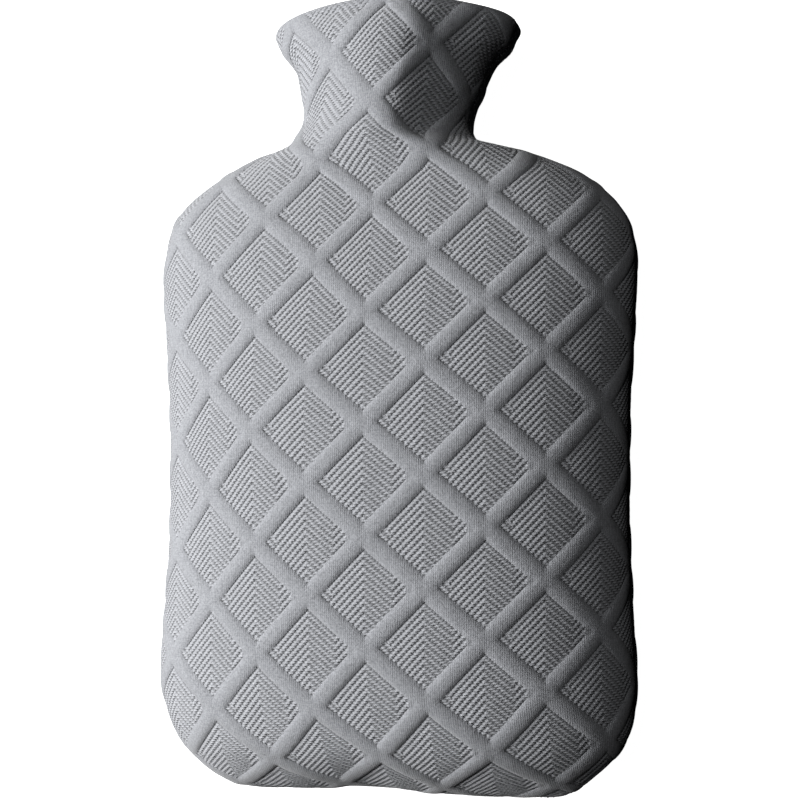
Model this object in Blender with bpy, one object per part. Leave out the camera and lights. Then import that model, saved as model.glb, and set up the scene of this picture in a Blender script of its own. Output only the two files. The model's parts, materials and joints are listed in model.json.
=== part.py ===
"""Knitted hot water bottle cover, lying on its back and full as with a bottle in it.

The cover is a hollow shell of thick double knit. Two shaped panels, front and back, meet
at a seam that runs down one side, along the bottom and up the other side. Each panel's
upper end is its half of the collar, whose edge rolls inwards to a hem. The knit has a
raised lattice of bands with sunken diamonds between them. The mouth is open.

Metres, +Z up. X runs across the cover and +Y from the bottom seam to the collar. The
origin is on the surface that the cover lies on, below the cover's middle.
"""
from collections import namedtuple

import bmesh
import bpy
import numpy as np
from mathutils import Matrix
from mathutils.geometry import tessellate_polygon

MM = 0.001

# ---- Driving dimensions, in millimetres unless a comment says otherwise ----

SEAM_HEIGHT = 36.0          # the side and bottom seam lies level, this high
SEAM_GAP = 0.3              # between the two panels' cut edges
CLOTH = 3.4                 # thickness of the knit through a raised band
DIAMOND_DEPTH = 1.5         # how far a diamond's floor lies below the bands
BAND_EDGE_DROP = 0.35       # rounding of a band from its crown to its edge
SEAM_EASE = 25.0            # the relief grows to its full depth this far from the seam
SEAM_RELIEF = 0.4           # and starts at the seam with this share of it
DIAMOND_PUFF = 0.2          # a diamond's middle stands this far above its rim

COLUMN_PITCH = 24.2         # lattice, across the cloth, from one column to the next
ROW_PITCH = 45.4            # lattice, along the cloth, from one diamond to the next
ROW_ORIGIN = 335.9          # how far up the cloth the first row's diamonds are centred
COLUMN_ORIGIN = 0.9         # how far the middle column stands off the panel's crest
ROW_RISE = 0.076            # rows climb to the right, mm for each mm across
BAND_SHARE = 0.215          # share of the lattice pitch that a band takes up
WALL_SHARE = 0.035          # share that the step down into a diamond takes up
COLUMN_BOW = 2.2            # columns left of the middle bow outwards at mid height
BOW_CENTRE = 165.0          # where along the cloth they bow most
BOW_REACH = 110.0           # and how far from there they run straight again

FRONT_ROUNDNESS = 2.2       # 2 is an ellipse, more is squarer
BACK_ROUNDNESS = 3.6        # the back is flatter, because the cover lies on it

BOTTOM_SKEW = 0.012         # the bottom seam climbs to the right, mm for each mm
BOTTOM_SKEW_REACH = 60.0    # and this fades out up to here
RIM_ARCH = 6.8              # the collar's edge drops by this at its two sides
RIM_ARCH_START = 278.0      # and this grows from here up to the edge
RIM_ARCH_POWER = 2.1        # 2 is a round arch, more is flatter in its middle

HEM_ROLL = 3.9              # radius of the collar's rolled edge
HEM_DEPTH = 15.0            # length of the turned-in hem below the roll
HEM_STEP = 2.5              # the hem's raw edge tapers out over this length
HEM_START = 2.0             # the lattice ends this far before the roll

STATIONS_PER_ROW = 8        # steps between two rows of the section table
RING_STEPS = 120            # steps around half a section
LINING_COLUMNS = 22         # coarser steps of the smooth inner side
SNAP = 1.5                  # mesh points closer to a panel's edge than this move onto it
SHARP_ANGLE = 50.0          # degrees, edges sharper than this are shaded sharp

# One row for each cross-section, from the bottom seam to the collar's edge: the place
# along Y, the middle in X, half the width, and the heights in front of and behind
# the seam.
Section = namedtuple("Section", "along middle half_width front back")
SECTIONS = (
    Section(-1.2, 6.0, 69.0, 0.0, 0.0),
    Section(0.3, 4.2, 76.0, 8.0, 8.0),
    Section(4.0, 2.6, 82.0, 16.0, 16.0),
    Section(10.4, 1.6, 89.4, 25.0, 25.0),
    Section(19.6, 1.2, 97.4, 33.0, 31.5),
    Section(33.0, 0.4, 102.9, 38.5, 35.0),
    Section(50.0, -0.8, 104.4, 41.5, 36.3),
    Section(80.0, -0.5, 102.3, 42.5, 36.4),
    Section(120.0, -0.1, 100.7, 42.5, 36.4),
    Section(160.0, 0.0, 101.2, 42.5, 36.4),
    Section(195.0, -0.1, 103.3, 42.0, 36.4),
    Section(220.0, -0.1, 104.6, 40.0, 36.3),
    Section(236.0, -0.3, 102.7, 37.5, 36.0),
    Section(248.0, -0.9, 97.0, 34.5, 34.5),
    Section(258.0, -0.9, 85.9, 32.0, 32.5),
    Section(264.9, -2.5, 72.4, 29.5, 30.5),
    Section(270.8, -3.5, 56.0, 28.0, 28.5),
    Section(276.9, -5.0, 40.3, 27.5, 27.0),
    Section(287.0, -2.7, 36.8, 27.5, 26.5),
    Section(300.0, -1.0, 39.8, 29.0, 27.5),
    Section(313.0, 0.7, 45.4, 30.5, 29.0),
    Section(321.5, 1.1, 52.2, 31.0, 30.0),
    Section(328.2, 1.1, 53.2, 31.0, 30.0),
)

# The smooth inner side of a panel, from the hem down: the place along the cloth below
# the collar's edge, as a share of the whole length.
LINING_ROWS = (0.93, 0.90, 0.865, 0.83, 0.80, 0.77, 0.73, 0.68, 0.62, 0.55, 0.48, 0.41,
               0.34, 0.28, 0.22, 0.17, 0.125, 0.085, 0.05, 0.022, 0.0)


def eased(values, steps):
    """Pass a smooth curve without overshoot through values at equal spacing."""
    rise = np.diff(values)
    slope = np.zeros(len(values))
    slope[0], slope[-1] = rise[0], rise[-1]
    for k in range(1, len(values) - 1):
        if rise[k - 1] * rise[k] > 0.0:
            slope[k] = 2.0 * rise[k - 1] * rise[k] / (rise[k - 1] + rise[k])
    at = np.linspace(0.0, len(values) - 1.0, (len(values) - 1) * steps + 1)
    k = np.minimum(at.astype(int), len(values) - 2)
    t = at - k
    return ((2 * t**3 - 3 * t**2 + 1) * values[k] + (t**3 - 2 * t**2 + t) * slope[k]
            + (3 * t**2 - 2 * t**3) * values[k + 1] + (t**3 - t**2) * slope[k + 1])


def arc_lengths(points):
    """Lengths along each line of points, from its first point."""
    steps = np.linalg.norm(np.diff(points, axis=1), axis=2)
    return np.concatenate([np.zeros((len(points), 1)), np.cumsum(steps, axis=1)], axis=1)


class PanelSurface:
    """Outer surface of one panel, reached by lengths across and along its cloth."""

    def __init__(self, facing, roundness, height_column):
        """facing is +1 for the front panel and -1 for the back panel."""
        table = np.array(SECTIONS)
        along, middle, half, height = (
            eased(table[:, k], STATIONS_PER_ROW) for k in (0, 1, 2, height_column))
        angle = np.linspace(0.0, np.pi, RING_STEPS + 1)
        side = -np.sign(np.cos(angle)) * np.abs(np.cos(angle)) ** (2.0 / FRONT_ROUNDNESS)
        crown = np.abs(np.sin(angle)) ** (2.0 / roundness)
        crown[0] = crown[-1] = 0.0
        x = middle[:, None] + half[:, None] * side
        z = SEAM_HEIGHT + facing * (SEAM_GAP / 2 + height[:, None] * crown)
        fade = np.clip(1.0 - along / BOTTOM_SKEW_REACH, 0.0, 1.0) ** 2
        top = np.clip((along - RIM_ARCH_START) / (along[-1] - RIM_ARCH_START), 0.0, 1.0)
        y = (along[:, None] + BOTTOM_SKEW * x * fade[:, None]
             - RIM_ARCH * top[:, None] * np.abs(side) ** RIM_ARCH_POWER)
        self.points = np.stack([x, y, z], axis=2)
        rings = arc_lengths(self.points * (1.0, 0.0, 1.0))
        self.across = rings - rings[:, RING_STEPS // 2][:, None]
        crest = self.points[:, RING_STEPS // 2]
        self.along = arc_lengths(crest[None])[0]
        self.length = self.along[-1]
        self.normals = self.outward(facing)

    def outward(self, facing):
        """Unit normals at the grid's points, level along the seam."""
        upwards = np.gradient(self.points, axis=0)
        rightwards = np.gradient(self.points, axis=1)
        normal = np.cross(rightwards, upwards) * facing
        for edge in (np.s_[:, 0], np.s_[:, -1], np.s_[0, :]):
            normal[edge][..., 2] = 0.0
        for corner, beside in ((0, 1), (-1, -2)):
            normal[0, corner] = normal[0, beside] + normal[1, corner]
        return normal / np.linalg.norm(normal, axis=2)[:, :, None]

    def edges(self, q):
        """How far the seam lies to the left and to the right at a length q."""
        return (np.interp(q, self.along, self.across[:, 0]),
                np.interp(q, self.along, self.across[:, -1]))

    def at(self, p, q):
        """Point and outward normal at p across and q along the cloth."""
        row = np.interp(q, self.along, np.arange(len(self.along)))
        low = min(int(row), len(self.along) - 2)
        share = row - low
        found = []
        for grid in (self.points, self.normals):
            ends = [np.array([np.interp(p, self.across[k], grid[k, :, c])
                              for c in range(3)]) for k in (low, low + 1)]
            found.append(ends[0] * (1.0 - share) + ends[1] * share)
        return found[0], found[1] / np.linalg.norm(found[1])


def lattice_lines(low, high):
    """Places of the mesh lines, six to a pitch, between two lattice numbers."""
    half = BAND_SHARE / 2.0
    offsets = (-half - WALL_SHARE, -half, 0.0, half, half + WALL_SHARE, 0.5)
    return [k + 0.5 + offset for k in range(low, high) for offset in offsets]


def to_cloth(u, v):
    """Lengths across and along the cloth at a place in the slanting lattice."""
    column, row = u - v, (u + v) / 2.0
    p = COLUMN_ORIGIN + COLUMN_PITCH * column
    q = ROW_ORIGIN - ROW_PITCH * row + ROW_RISE * p
    swing = 1.0 - ((q - BOW_CENTRE) / BOW_REACH) ** 2
    p -= COLUMN_BOW * swing * np.exp(-((column + 1.0) / 1.8) ** 2)
    return p, q


def sunk(u, v):
    """Depth below the bands' crowns at a place in the lattice."""
    half = BAND_SHARE / 2.0
    depths = []
    for place in (u, v):
        off = abs(place - np.floor(place) - 0.5)
        depths.append(np.interp(
            off, (0.0, half, half + WALL_SHARE, 0.5),
            (0.0, BAND_EDGE_DROP, DIAMOND_DEPTH, DIAMOND_DEPTH - DIAMOND_PUFF)))
    return min(depths)


def room(surface, place, top):
    """Distance of a place on the cloth from the panel's nearest edge, and which."""
    p, q = place
    left, right = surface.edges(min(max(q, 0.0), top))
    choices = ((p - left, "left"), (right - p, "right"), (q, "bottom"), (top - q, "top"))
    return min(choices)


def onto_edge(surface, place, side, top):
    """Move a place on the cloth onto the panel's edge of that side."""
    p, q = place
    q = min(max(q, 0.0), top)
    left, right = surface.edges(q)
    if side in ("left", "right"):
        p = left if side == "left" else right
    return min(max(p, left), right), {"bottom": 0.0, "top": top}.get(side, q)


def edge_crossing(surface, inside, outside, top):
    """Share of the way from inside to outside at which the panel's edge is crossed."""
    near, far = 0.0, 1.0
    for _ in range(24):
        half = (near + far) / 2.0
        place = inside * (1.0 - half) + outside * half
        if room(surface, place, top)[0] > 0.0:
            near = half
        else:
            far = half
    return near


class LatticeSheet:
    """The outer side of a panel, meshed along the lattice and cut at the panel's edge."""

    def __init__(self, surface, top):
        self.surface, self.top = surface, top
        self.places, self.lattice, self.on_edge = [], [], []
        self.cuts = {}
        self.faces = []
        self.fill()
        self.corners = [self.pin_corner(edge) for edge in surface.edges(top)]

    def add(self, place, lattice, on_edge):
        """Store one mesh point and return its number."""
        self.places.append(np.array(place))
        self.lattice.append(np.array(lattice))
        self.on_edge.append(on_edge)
        return len(self.places) - 1

    def fill(self):
        """Make the mesh faces that lie inside the panel's edge."""
        lines = lattice_lines(-5, 12)
        numbers, inside = {}, {}
        for a, u in enumerate(lines):
            for b, v in enumerate(lines):
                place = to_cloth(u, v)
                space, side = room(self.surface, place, self.top)
                if space < -60.0:
                    continue
                if abs(space) < SNAP:
                    place, space = onto_edge(self.surface, place, side, self.top), 0.0
                numbers[a, b] = self.add(place, (u, v), space == 0.0)
                inside[a, b] = space
        for a in range(len(lines) - 1):
            for b in range(len(lines) - 1):
                keys = ((a, b), (a + 1, b), (a + 1, b + 1), (a, b + 1))
                if all(key in numbers for key in keys):
                    self.add_face(keys, numbers, inside)

    def add_face(self, keys, numbers, inside):
        """Keep the part of one quad that lies inside the panel."""
        if max(inside[key] for key in keys) <= 0.0:
            return
        ring = []
        for here, after in zip(keys, keys[1:] + keys[:1]):
            if inside[here] >= 0.0:
                ring.append(numbers[here])
            if inside[here] * inside[after] < 0.0:
                ring.append(self.cut(numbers[here], numbers[after], inside[here] > 0.0))
        if len(ring) >= 3:
            self.faces.append(ring)

    def cut(self, first, second, first_is_inside):
        """Number of the point where the edge between two points leaves the panel."""
        key = (min(first, second), max(first, second))
        if key not in self.cuts:
            inner, outer = (first, second) if first_is_inside else (second, first)
            share = edge_crossing(self.surface, self.places[inner], self.places[outer],
                                  self.top)
            place = self.places[inner] * (1 - share) + self.places[outer] * share
            side = room(self.surface, place, self.top)[1]
            lattice = self.lattice[inner] * (1 - share) + self.lattice[outer] * share
            place = onto_edge(self.surface, place, side, self.top)
            self.cuts[key] = self.add(place, lattice, True)
        return self.cuts[key]

    def pin_corner(self, edge):
        """Move the edge point nearest to an upper corner of the panel onto it."""
        corner = np.array((edge, self.top))
        used = {number for face in self.faces for number in face}
        rim = [number for number in used if self.on_edge[number]]
        nearest = min(rim, key=lambda k: np.linalg.norm(self.places[k] - corner))
        self.places[nearest] = corner
        return nearest

    def point(self, number):
        """Place in space of a mesh point, sunk by the lattice's relief."""
        p, q = self.places[number]
        base, normal = self.surface.at(p, q)
        left, right = self.surface.edges(q)
        ease = min((p - left) / SEAM_EASE, (right - p) / SEAM_EASE, q / SEAM_EASE, 1.0)
        share = SEAM_RELIEF + (1.0 - SEAM_RELIEF) * ease
        return base - normal * share * sunk(*self.lattice[number])


def lining_rows(length):
    """Rows of the inner side from the roll down: (place along, inwards, upwards)."""
    top = length
    rows = []
    for turn in np.linspace(0.0, np.pi, 6):
        rows.append((top, HEM_ROLL * (1.0 - np.cos(turn)), HEM_ROLL * np.sin(turn)))
    rows.append((top - HEM_DEPTH, 2.0 * HEM_ROLL, 0.0))
    rows.append((top - HEM_DEPTH - HEM_STEP, CLOTH, 0.0))
    rows += [(top * share, CLOTH, 0.0) for share in LINING_ROWS]
    return rows


def lining_points(surface):
    """Grid of points of the rolled edge, the hem and the smooth inner side."""
    grid = []
    shares = np.linspace(0.0, 1.0, LINING_COLUMNS + 1)
    for along, inwards, upwards in lining_rows(surface.length):
        left, right = surface.edges(along)
        row = []
        for share in shares:
            p = left * (1.0 - share) + right * share
            base, normal = surface.at(p, along)
            point = base - normal * inwards
            if upwards > 0.0:
                climb = base - surface.at(p, along - 1.0)[0]
                point += climb / np.linalg.norm(climb) * upwards
            row.append(point)
        grid.append(row)
    return grid


def ordered_edge(mesh, start, goal):
    """Points of an open mesh's edge from start to goal, the long way round."""
    ways = []
    for first in start.link_edges:
        if not first.is_boundary:
            continue
        walk, edge = [start], first
        while walk[-1] is not goal:
            walk.append(edge.other_vert(walk[-1]))
            edge = next(e for e in walk[-1].link_edges if e.is_boundary and e is not edge)
        ways.append(walk)
    return max(ways, key=len), min(ways, key=len)


def stitch(mesh, lower, upper):
    """Fill the strip between two rows of points that run the same way."""
    a = b = 0
    while a < len(lower) - 1 or b < len(upper) - 1:
        step_a = a < len(lower) - 1 and (
            b == len(upper) - 1 or lower[a + 1].co.x <= upper[b + 1].co.x)
        if step_a:
            mesh.faces.new((lower[a], lower[a + 1], upper[b]))
            a += 1
        else:
            mesh.faces.new((lower[a], upper[b + 1], upper[b]))
            b += 1


def panel_mesh(name, facing, roundness, height_column):
    """One panel as a closed solid: the lattice side, the lining, rim and seam faces."""
    surface = PanelSurface(facing, roundness, height_column)
    sheet = LatticeSheet(surface, surface.length - HEM_START)
    mesh = bmesh.new()
    verts = {number: mesh.verts.new(sheet.point(number))
             for number in sorted({n for face in sheet.faces for n in face})}
    for face in sheet.faces:
        mesh.faces.new([verts[number] for number in face])
    seam_side, rim_side = ordered_edge(mesh, *(verts[number] for number in sheet.corners))
    for vert in seam_side:
        vert.co.z = SEAM_HEIGHT + facing * SEAM_GAP / 2
    lining = [[mesh.verts.new(point) for point in row] for row in lining_points(surface)]
    for upper, lower in zip(lining, lining[1:]):
        for k in range(LINING_COLUMNS):
            mesh.faces.new((upper[k], upper[k + 1], lower[k + 1], lower[k]))
    stitch(mesh, rim_side, lining[0])
    seam = (seam_side + [row[-1] for row in lining] + lining[-1][-2:0:-1]
            + [row[0] for row in reversed(lining)])
    for vert in seam[len(seam_side):]:
        vert.co.z = SEAM_HEIGHT + facing * SEAM_GAP / 2
    for triangle in tessellate_polygon([[(v.co.x, v.co.y, 0.0) for v in seam]]):
        mesh.faces.new([seam[k] for k in triangle])
    for vert in mesh.verts:
        vert.co.z = max(vert.co.z, 0.0)
        vert.co *= MM
    bmesh.ops.triangulate(mesh, faces=mesh.faces)
    bmesh.ops.recalc_face_normals(mesh, faces=mesh.faces)
    data = bpy.data.meshes.new(name)
    mesh.to_mesh(data)
    mesh.free()
    return data


def knit_material(name, colour):
    """Matt wool-like knit in one colour."""
    material = bpy.data.materials.new(name)
    material.use_nodes = True
    shader = material.node_tree.nodes["Principled BSDF"]
    shader.inputs["Base Color"].default_value = (*colour, 1.0)
    shader.inputs["Roughness"].default_value = 0.9
    shader.inputs["Metallic"].default_value = 0.0
    return material


def centre_on_origin(meshes):
    """Move the meshes together so that their joint box is centred over the origin."""
    points = np.array([v.co for mesh in meshes for v in mesh.vertices])
    middle = (points.min(axis=0) + points.max(axis=0)) / 2.0
    for mesh in meshes:
        mesh.transform(Matrix.Translation((-middle[0], -middle[1], 0.0)))


def build():
    """Clear the scene and build the two panels under one empty."""
    for old in list(bpy.data.objects):
        bpy.data.objects.remove(old)
    cover = bpy.data.objects.new("hot_water_bottle_cover", None)
    bpy.context.scene.collection.objects.link(cover)
    panels = (("front_panel", 1, FRONT_ROUNDNESS, 3, (0.36, 0.36, 0.39)),
              ("back_panel", -1, BACK_ROUNDNESS, 4, (0.33, 0.33, 0.36)))
    meshes = []
    for name, facing, roundness, height_column, colour in panels:
        mesh = panel_mesh(name, facing, roundness, height_column)
        mesh.materials.append(knit_material(name + "_knit", colour))
        mesh.shade_smooth()
        mesh.set_sharp_from_angle(angle=np.radians(SHARP_ANGLE))
        meshes.append(mesh)
        panel = bpy.data.objects.new(name, mesh)
        panel.parent = cover
        bpy.context.scene.collection.objects.link(panel)
    centre_on_origin(meshes)


build()
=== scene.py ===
"""Dresses a knitted hot water bottle cover that lies on its back, full as with a bottle in it.

The cover is cut from one thick double knit: raised plain bands cross in a slanting lattice,
and in the sunken diamonds between them narrow ribs stand in nested chevrons. A front and a
back panel meet in a linked seam round the sides and the bottom, and the collar's edge rolls
inwards to a hem. Lengths in the classes are millimetres unless a comment says otherwise.
Meshes are in metres, in the frame of the CAD part: +X across the cover, +Y from the bottom
seam to the collar, and +Z out of the front panel.
"""

import json
import logging
import math
from dataclasses import dataclass, field
from enum import Enum
from typing import Any, NamedTuple

import bmesh
import bpy
import numpy as np
from mathutils import Euler, Matrix, Vector
from mathutils.geometry import tessellate_polygon

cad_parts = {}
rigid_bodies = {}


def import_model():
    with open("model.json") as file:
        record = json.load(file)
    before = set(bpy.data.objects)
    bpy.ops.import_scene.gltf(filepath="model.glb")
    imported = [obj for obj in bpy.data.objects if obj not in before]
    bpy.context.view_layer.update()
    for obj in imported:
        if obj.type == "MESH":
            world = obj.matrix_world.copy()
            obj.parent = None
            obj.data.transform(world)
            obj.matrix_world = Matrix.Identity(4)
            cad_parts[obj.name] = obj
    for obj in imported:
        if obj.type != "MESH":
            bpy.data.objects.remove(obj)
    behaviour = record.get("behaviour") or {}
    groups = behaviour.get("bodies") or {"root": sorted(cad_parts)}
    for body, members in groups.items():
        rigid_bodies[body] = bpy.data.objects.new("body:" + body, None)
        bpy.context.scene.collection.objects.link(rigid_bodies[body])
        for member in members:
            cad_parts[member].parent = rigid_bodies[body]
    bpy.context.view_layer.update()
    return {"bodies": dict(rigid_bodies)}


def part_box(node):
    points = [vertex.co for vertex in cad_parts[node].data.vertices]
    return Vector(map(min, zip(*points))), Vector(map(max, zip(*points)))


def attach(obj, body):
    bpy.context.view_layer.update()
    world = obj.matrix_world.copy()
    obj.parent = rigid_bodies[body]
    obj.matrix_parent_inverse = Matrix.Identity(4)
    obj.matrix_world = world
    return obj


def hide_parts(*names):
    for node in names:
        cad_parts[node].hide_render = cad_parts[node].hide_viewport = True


MM = 0.001
TINY = 1e-9
log = logging.getLogger("cover")


class Facing(Enum):
    """The way that a panel faces."""

    FRONT = 1
    BACK = -1


class Section(NamedTuple):
    """One cross-section of the full cover, between the bottom seam and the collar's edge."""

    along: float
    middle: float
    half_width: float
    front: float
    back: float


SECTIONS = (
    Section(-1.2, 2.5, 65.5, 0.0, 0.0),
    Section(0.3, 1.4, 73.2, 8.0, 8.0),
    Section(4.0, 0.8, 80.2, 16.0, 16.0),
    Section(10.4, 0.3, 88.1, 25.0, 25.0),
    Section(19.6, 0.3, 96.5, 33.0, 31.5),
    Section(33.0, -0.2, 102.3, 38.5, 35.0),
    Section(50.0, -1.0, 104.2, 41.5, 36.3),
    Section(80.0, -0.5, 102.3, 42.5, 36.4),
    Section(120.0, -0.1, 100.7, 42.5, 36.4),
    Section(160.0, 0.0, 101.2, 42.5, 36.4),
    Section(195.0, -0.1, 103.3, 42.0, 36.4),
    Section(220.0, -0.1, 104.6, 40.0, 36.3),
    Section(236.0, -0.3, 102.7, 37.5, 36.0),
    Section(248.0, -0.9, 97.0, 34.5, 34.5),
    Section(258.0, -0.9, 85.9, 32.0, 32.5),
    Section(264.9, -2.3, 73.4, 29.5, 30.5),
    Section(270.8, -3.2, 59.0, 28.0, 28.5),
    Section(276.9, -4.6, 41.3, 27.5, 27.0),
    Section(287.0, -2.7, 36.8, 27.5, 26.5),
    Section(300.0, -1.0, 39.8, 29.0, 27.5),
    Section(313.0, 0.4, 43.8, 30.5, 29.0),
    Section(320.5, 1.1, 50.2, 31.0, 30.0),
    Section(327.6, 1.1, 53.4, 31.0, 30.0),
)


class Pull(NamedTuple):
    """A place where the cloth, and its lattice with it, is pulled out of true."""

    across: float
    along: float
    right: float
    up: float
    reach: float


PULLS = (
    Pull(-20.0, 302.0, -4.0, 0.0, 16.0),
    Pull(-27.0, 258.0, 3.2, 1.2, 28.0),
    Pull(-50.0, 168.0, -1.6, 1.2, 30.0),
    Pull(50.0, 190.0, 0.0, 1.3, 45.0),
    Pull(75.0, 75.0, 0.0, 1.3, 40.0),
    Pull(-85.0, 80.0, 1.3, 1.2, 30.0),
    Pull(45.0, 12.0, -2.5, 0.5, 25.0),
)


def eased(values: np.ndarray, steps: int) -> np.ndarray:
    """Pass a smooth curve without overshoot through values at equal spacing.

    Args:
        values: The values, one for each section.
        steps: How many steps to make between two of them.

    Returns:
        The curve's values at every step.
    """
    rise = np.diff(values)
    slope = np.zeros(len(values))
    slope[0], slope[-1] = rise[0], rise[-1]
    same_way = rise[:-1] * rise[1:] > 0.0
    both = np.where(same_way, rise[:-1] + rise[1:], 1.0)
    slope[1:-1] = np.where(same_way, 2.0 * rise[:-1] * rise[1:] / both, 0.0)
    at = np.linspace(0.0, len(values) - 1.0, (len(values) - 1) * steps + 1)
    k = np.minimum(at.astype(int), len(values) - 2)
    t = at - k
    return ((2 * t**3 - 3 * t**2 + 1) * values[k] + (t**3 - 2 * t**2 + t) * slope[k]
            + (3 * t**2 - 2 * t**3) * values[k + 1] + (t**3 - t**2) * slope[k + 1])


def arc_lengths(points: np.ndarray) -> np.ndarray:
    """Measure along each line of points, from its first point.

    Args:
        points: Lines of points, as an array of lines by points by coordinates.

    Returns:
        The length from each line's start to each of its points.
    """
    steps = np.linalg.norm(np.diff(points, axis=1), axis=2)
    return np.concatenate([np.zeros((len(points), 1)), np.cumsum(steps, axis=1)], axis=1)


@dataclass(frozen=True)
class Loft:
    """Sizes of the full cover's body around its table of sections."""

    seam_height: float = 36.0
    seam_gap: float = 0.3
    cloth: float = 3.4
    front_roundness: float = 2.2  # 2 is an ellipse, more is squarer
    back_roundness: float = 3.6
    bottom_skew: float = 0.012  # the bottom seam climbs to the right, mm for each mm
    bottom_skew_reach: float = 60.0
    bottom_dent: float = 2.4  # the bottom seam is drawn up by this near the middle
    bottom_dent_middle: float = -8.0
    bottom_dent_width: float = 19.0
    rim_arch: float = 5.2  # the collar's edge drops by this at its two sides
    rim_arch_start: float = 278.0
    rim_arch_power: float = 2.3
    neck_ridge: float = 6.5  # the loose cloth of the neck stands up in a ridge this high
    neck_ridge_middle: float = 0.29  # as a share of the half width, as the two below
    neck_ridge_left: float = 0.8
    neck_ridge_right: float = 0.3
    neck_start: float = 260.0
    neck_fade: float = 16.0
    stations_per_row: int = 24
    ring_steps: int = 300


class PanelForm:
    """Outer surface of one panel, reached by lengths across and along its cloth."""

    def __init__(self, facing: Facing, loft: Loft) -> None:
        """Work out the surface as a fine grid of points and normals.

        Args:
            facing: Which panel it is.
            loft: The body's sizes.
        """
        front = facing is Facing.FRONT
        table = np.array(SECTIONS)
        along, middle, half, height = (
            eased(table[:, k], loft.stations_per_row) for k in (0, 1, 2, 3 if front else 4))
        angle = np.linspace(0.0, np.pi, loft.ring_steps + 1)
        side = -np.sign(np.cos(angle)) * np.abs(np.cos(angle)) ** (2 / loft.front_roundness)
        roundness = loft.front_roundness if front else loft.back_roundness
        crown = np.abs(np.sin(angle)) ** (2 / roundness)
        crown[0] = crown[-1] = 0.0
        x = middle[:, None] + half[:, None] * side
        self.seam_level = loft.seam_height + facing.value * loft.seam_gap / 2
        z = self.seam_level + facing.value * height[:, None] * crown
        if front:
            neck = np.clip((along - loft.neck_start) / loft.neck_fade, 0.0, 1.0)[:, None]
            off = side - loft.neck_ridge_middle
            off /= np.where(off > 0.0, loft.neck_ridge_right, loft.neck_ridge_left)
            z += loft.neck_ridge * neck * crown * np.exp(-off**2)
        fade = np.clip(1.0 - along / loft.bottom_skew_reach, 0.0, 1.0) ** 2
        top = np.clip((along - loft.rim_arch_start) / (along[-1] - loft.rim_arch_start), 0, 1)
        dent = np.exp(-((x - loft.bottom_dent_middle) / loft.bottom_dent_width) ** 2)
        y = (along[:, None] + (loft.bottom_skew * x + loft.bottom_dent * dent) * fade[:, None]
             - loft.rim_arch * top[:, None] * np.abs(side) ** loft.rim_arch_power)
        points = np.stack([x, y, z], axis=2)
        rings = arc_lengths(points * (1.0, 0.0, 1.0))
        crest = loft.ring_steps // 2
        self.across = rings - rings[:, crest][:, None]
        self.along = arc_lengths(points[:, crest][None])[0]
        self.length = self.along[-1]
        self.grid = np.concatenate([points, self.outward(points, facing)], axis=2)

    @staticmethod
    def outward(points: np.ndarray, facing: Facing) -> np.ndarray:
        """Find unit normals at the grid's points, level along the seam.

        Args:
            points: The surface's grid of points.
            facing: Which panel it is.

        Returns:
            The normals, as an array like the points.
        """
        normal = np.cross(np.gradient(points, axis=1), np.gradient(points, axis=0))
        normal *= facing.value
        for edge in (np.s_[:, 0], np.s_[:, -1], np.s_[0, :]):
            normal[edge][..., 2] = 0.0
        for corner, beside in ((0, 1), (-1, -2)):
            normal[0, corner] = normal[0, beside] + normal[1, corner]
        return normal / np.linalg.norm(normal, axis=2)[:, :, None]

    def edges(self, q: np.ndarray) -> tuple[np.ndarray, np.ndarray]:
        """Give how far the seam lies to the left and to the right at lengths q."""
        return (np.interp(q, self.along, self.across[:, 0]),
                np.interp(q, self.along, self.across[:, -1]))

    def at(self, p: np.ndarray, q: np.ndarray) -> tuple[np.ndarray, np.ndarray]:
        """Find points and outward normals on the surface.

        Args:
            p: Lengths across the cloth from its crest.
            q: Lengths along the cloth from the bottom seam.

        Returns:
            The points, and the unit normals there.
        """
        row = np.interp(q, self.along, np.arange(len(self.along)))
        low = np.minimum(row.astype(int), len(self.along) - 2)
        share = row - low
        found = np.zeros((len(p), 6))
        steps = np.arange(self.across.shape[1])
        for station in np.unique(low):
            here = np.flatnonzero(low == station)
            for ring, weight in ((station, 1.0 - share[here]), (station + 1, share[here])):
                column = np.interp(p[here], self.across[ring], steps)
                k = np.minimum(column.astype(int), len(steps) - 2)
                t = (column - k)[:, None]
                on_ring = self.grid[ring, k] * (1.0 - t) + self.grid[ring, k + 1] * t
                found[here] += on_ring * weight[:, None]
        normals = found[:, 3:] / np.linalg.norm(found[:, 3:], axis=1)[:, None]
        return found[:, :3], normals


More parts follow.
